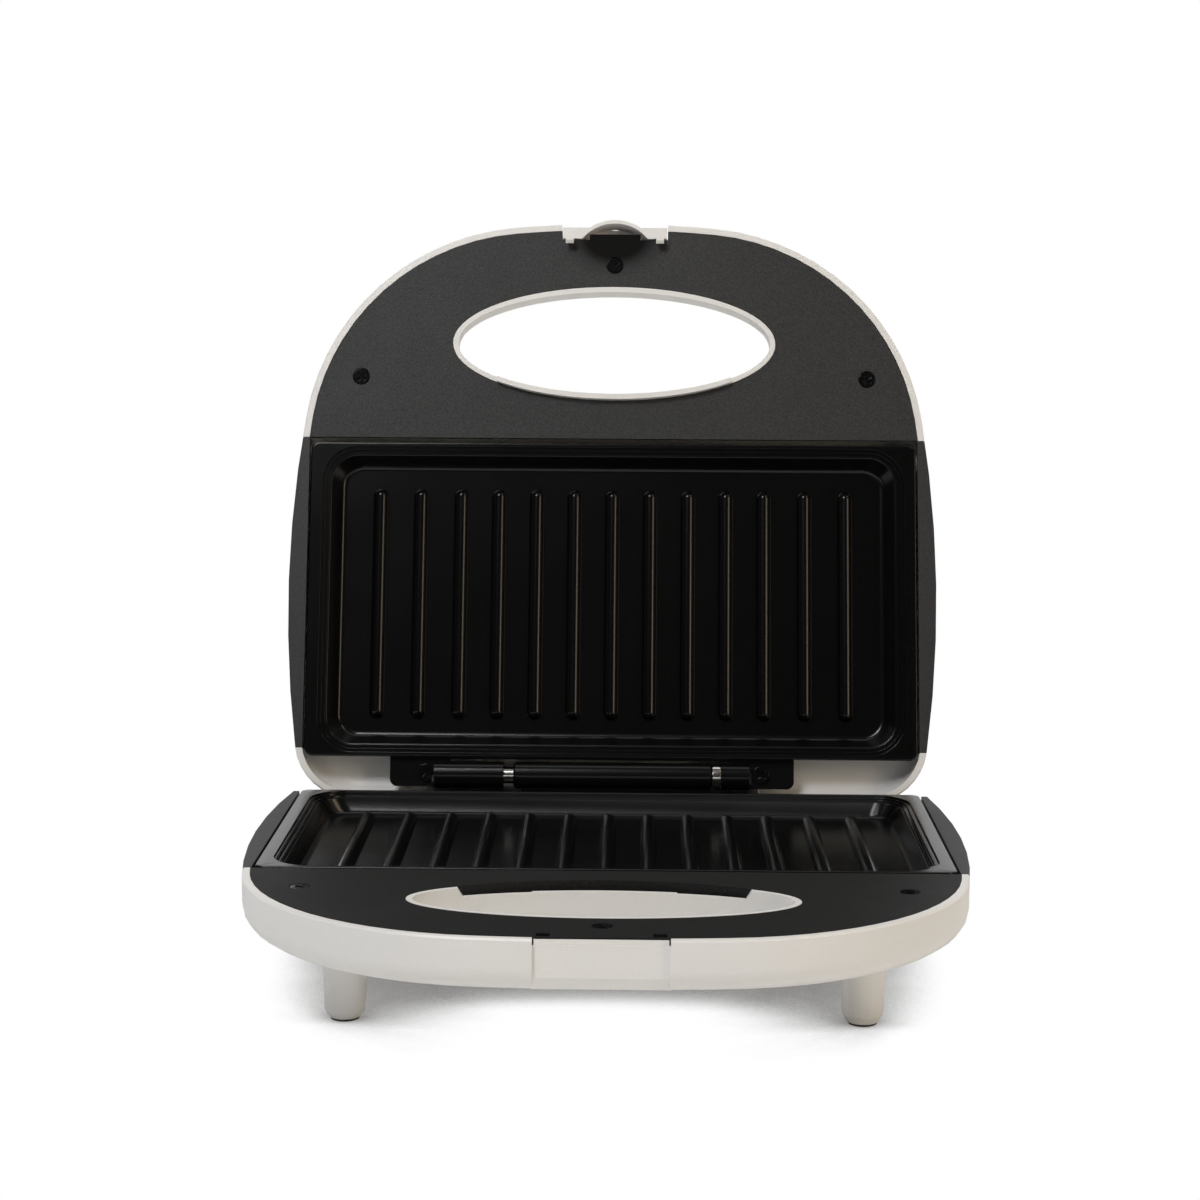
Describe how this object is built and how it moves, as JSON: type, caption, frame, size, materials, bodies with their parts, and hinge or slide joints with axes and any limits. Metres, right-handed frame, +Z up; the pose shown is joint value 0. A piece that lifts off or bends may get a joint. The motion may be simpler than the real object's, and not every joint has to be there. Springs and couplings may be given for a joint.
{
  "type": "sandwich toaster",
  "caption": "Hinged sandwich toaster standing open: white D-shaped halves with oval hand holes, ribbed black non-stick plates, a front latch and four feet.",
  "frame": {"origin": "on the table, under the centre of the box around the open toaster", "axes": "+Z up, +X to the right of someone facing the open toaster, +Y from the handles to the hinge and the raised lid"},
  "size_m": [0.2328, 0.2647, 0.2413],
  "materials": {
    "black_panel": "fine-textured black moulding",
    "ceramic": "ivory insulating body",
    "heater_steel": "dull steel tube",
    "hinge_black": "satin black",
    "lens_green": "clear green lens",
    "lens_red": "clear red lens",
    "nonstick": "satin black non-stick coating on cast aluminium",
    "pin_steel": "polished steel",
    "rubber": "matte",
    "screw_black": "black oxide",
    "screw_steel": "zinc-plated",
    "sheet_steel": "bright aluminised sheet",
    "thermostat": "stamped brass and ceramic",
    "trim_grey": "matte dark grey moulding",
    "white_shell": "smooth satin white moulding"
  },
  "bodies": {
    "base": {"base_shell": "white_shell", "base_panel": "black_panel", "base_side_trim_left": "trim_grey", "base_side_trim_right": "trim_grey", "lower_grill_plate": "nonstick", "lower_heater": "heater_steel", "lower_reflector": "sheet_steel", "lower_plate_screws": "screw_steel", "hinge_block": "hinge_black", "hinge_block_screws": "screw_steel", "hinge_pin": "pin_steel", "hinge_washer": "pin_steel", "base_panel_screws": "screw_black", "foot_pads": "rubber", "thermostat": "thermostat", "thermal_fuse": "ceramic", "terminal_block": "ceramic", "cord_grommet": "rubber", "cord_clamp": "ceramic", "cord_clamp_screws": "screw_steel"},
    "lid": {"lid_shell": "white_shell", "lid_panel": "black_panel", "lid_side_trim_left": "trim_grey", "lid_side_trim_right": "trim_grey", "upper_grill_plate": "nonstick", "upper_heater": "heater_steel", "upper_reflector": "sheet_steel", "upper_plate_screws": "screw_steel", "lid_hinge_bracket": "hinge_black", "lid_hinge_screws": "screw_black", "lid_panel_screws": "screw_black", "power_lamp_lens": "lens_red", "ready_lamp_lens": "lens_green", "lamp_holder": "ceramic", "latch_pin": "pin_steel"},
    "latch": {"latch": "white_shell"}
  },
  "joints": [
    {"name": "lid_hinge", "type": "hinge", "parent": "base", "child": "lid", "pos_m": [0, 0.06946, 0.0445], "axis": [1, 0, 0], "range_deg": [0, 105.6]},
    {"name": "latch_pivot", "type": "hinge", "parent": "lid", "child": "latch", "pos_m": [0, 0.12774, 0.23276], "axis": [-1, 0, 0], "range_deg": [0, 6]}
  ]
}
